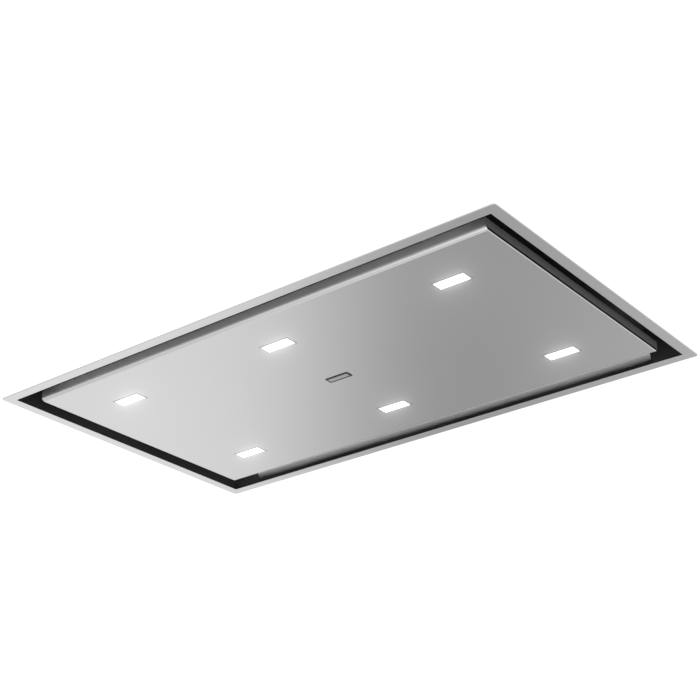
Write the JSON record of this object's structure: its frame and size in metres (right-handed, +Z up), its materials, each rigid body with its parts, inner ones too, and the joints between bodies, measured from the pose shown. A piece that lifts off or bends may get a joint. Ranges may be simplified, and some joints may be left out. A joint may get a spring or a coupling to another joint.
{
  "type": "ceiling range hood",
  "caption": "Flush ceiling hood: a stainless panel with oblong lamps in a trim frame, suction slot all round, grease cassettes, and a blower housing with a round duct collar.",
  "frame": {"origin": "middle of the ceiling plane, the upper face of the trim frame's flange", "axes": "+Z up, +X along the long side, +Y towards the hinged side and the duct collar"},
  "size_m": [1.2, 0.7, 0.3036],
  "materials": {
    "stainless": "brushed",
    "badge_steel": "satin",
    "black_paint": "satin",
    "liner_aluminium": "satin",
    "galvanised": "galvanised",
    "zinc_plated": "zinc plated",
    "aluminium": "satin",
    "aluminium_mesh": "expanded mesh",
    "black_plastic": "matte",
    "grey_plastic": "matte",
    "white_plastic": "matte",
    "lamp_window": "opal",
    "magnet": "matte",
    "board": "solder mask"
  },
  "bodies": {
    "hood": {"trim_frame": "stainless", "air_guide_far": "stainless", "air_guide_near": "stainless", "casing": "black_paint", "filter_support": "black_paint", "motor_box": "galvanised", "motor_box_lid": "galvanised", "fan_scroll": "galvanised", "blower_rail_left": "galvanised", "blower_rail_right": "galvanised", "fan_motor": "zinc_plated", "motor_spider": "zinc_plated", "duct_collar": "black_plastic", "flap_pin": "zinc_plated", "control_box": "grey_plastic", "control_box_lid": "grey_plastic", "control_board": "board", "cable_gland": "black_plastic", "led_driver": "white_plastic", "hanging_bracket_1": "galvanised", "hanging_bracket_2": "galvanised", "hanging_bracket_3": "galvanised", "hanging_bracket_4": "galvanised", "filter_frame_1": "aluminium", "filter_mesh_1": "aluminium_mesh", "filter_frame_2": "aluminium", "filter_mesh_2": "aluminium_mesh", "hinge_bracket_left": "zinc_plated", "catch_post_left": "zinc_plated", "catch_magnet_left": "magnet", "hinge_bracket_right": "zinc_plated", "catch_post_right": "zinc_plated", "catch_magnet_right": "magnet"},
    "panel": {"front_panel": "stainless", "panel_liner": "liner_aluminium", "blank_badge": "badge_steel", "lamp_harness": "grey_plastic", "lamp_lens_1": "lamp_window", "lamp_lens_2": "lamp_window", "lamp_lens_3": "lamp_window", "lamp_lens_4": "lamp_window", "lamp_lens_5": "lamp_window", "lamp_lens_6": "lamp_window", "lamp_housing_1": "white_plastic", "lamp_housing_2": "white_plastic", "lamp_housing_3": "white_plastic", "lamp_housing_4": "white_plastic", "lamp_housing_5": "white_plastic", "lamp_housing_6": "white_plastic", "hinge_leaf_left": "zinc_plated", "hinge_leaf_right": "zinc_plated", "hinge_pin_left": "zinc_plated", "hinge_pin_right": "zinc_plated", "catch_keeper_left": "zinc_plated", "catch_keeper_right": "zinc_plated"},
    "fan_wheel": {"impeller": "black_plastic"},
    "flap_left": {"backdraft_flap_left": "black_plastic"},
    "flap_right": {"backdraft_flap_right": "black_plastic"},
    "catch_1": {"filter_latch_1": "black_plastic"},
    "catch_2": {"filter_latch_2": "black_plastic"}
  },
  "joints": [
    {"name": "panel_hinge", "type": "hinge", "parent": "hood", "child": "panel", "pos_m": [0, 0.2725, 0.03], "axis": [1, 0, 0], "range_deg": [0, 90]},
    {"name": "fan_spin", "type": "hinge", "parent": "hood", "child": "fan_wheel", "pos_m": [-0.13177, -0.04057, 0.175], "axis": [0, 0, 1], "continuous": true},
    {"name": "flap_left_swing", "type": "hinge", "parent": "hood", "child": "flap_left", "pos_m": [0, 0.2293, 0.175], "axis": [0, 0, -1], "range_deg": [0, 75], "stiffness_Nm_per_rad": 0.01},
    {"name": "flap_right_swing", "type": "hinge", "parent": "hood", "child": "flap_right", "pos_m": [0, 0.2293, 0.175], "axis": [0, 0, 1], "range_deg": [0, 75], "stiffness_Nm_per_rad": 0.01},
    {"name": "catch_1_slide", "type": "slide", "parent": "hood", "child": "catch_1", "axis": [0, 1, 0], "range_m": [0, 0.006], "stiffness_N_per_m": 250, "springref_m": -0.002},
    {"name": "catch_2_slide", "type": "slide", "parent": "hood", "child": "catch_2", "axis": [0, 1, 0], "range_m": [0, 0.006], "stiffness_N_per_m": 250, "springref_m": -0.002}
  ]
}
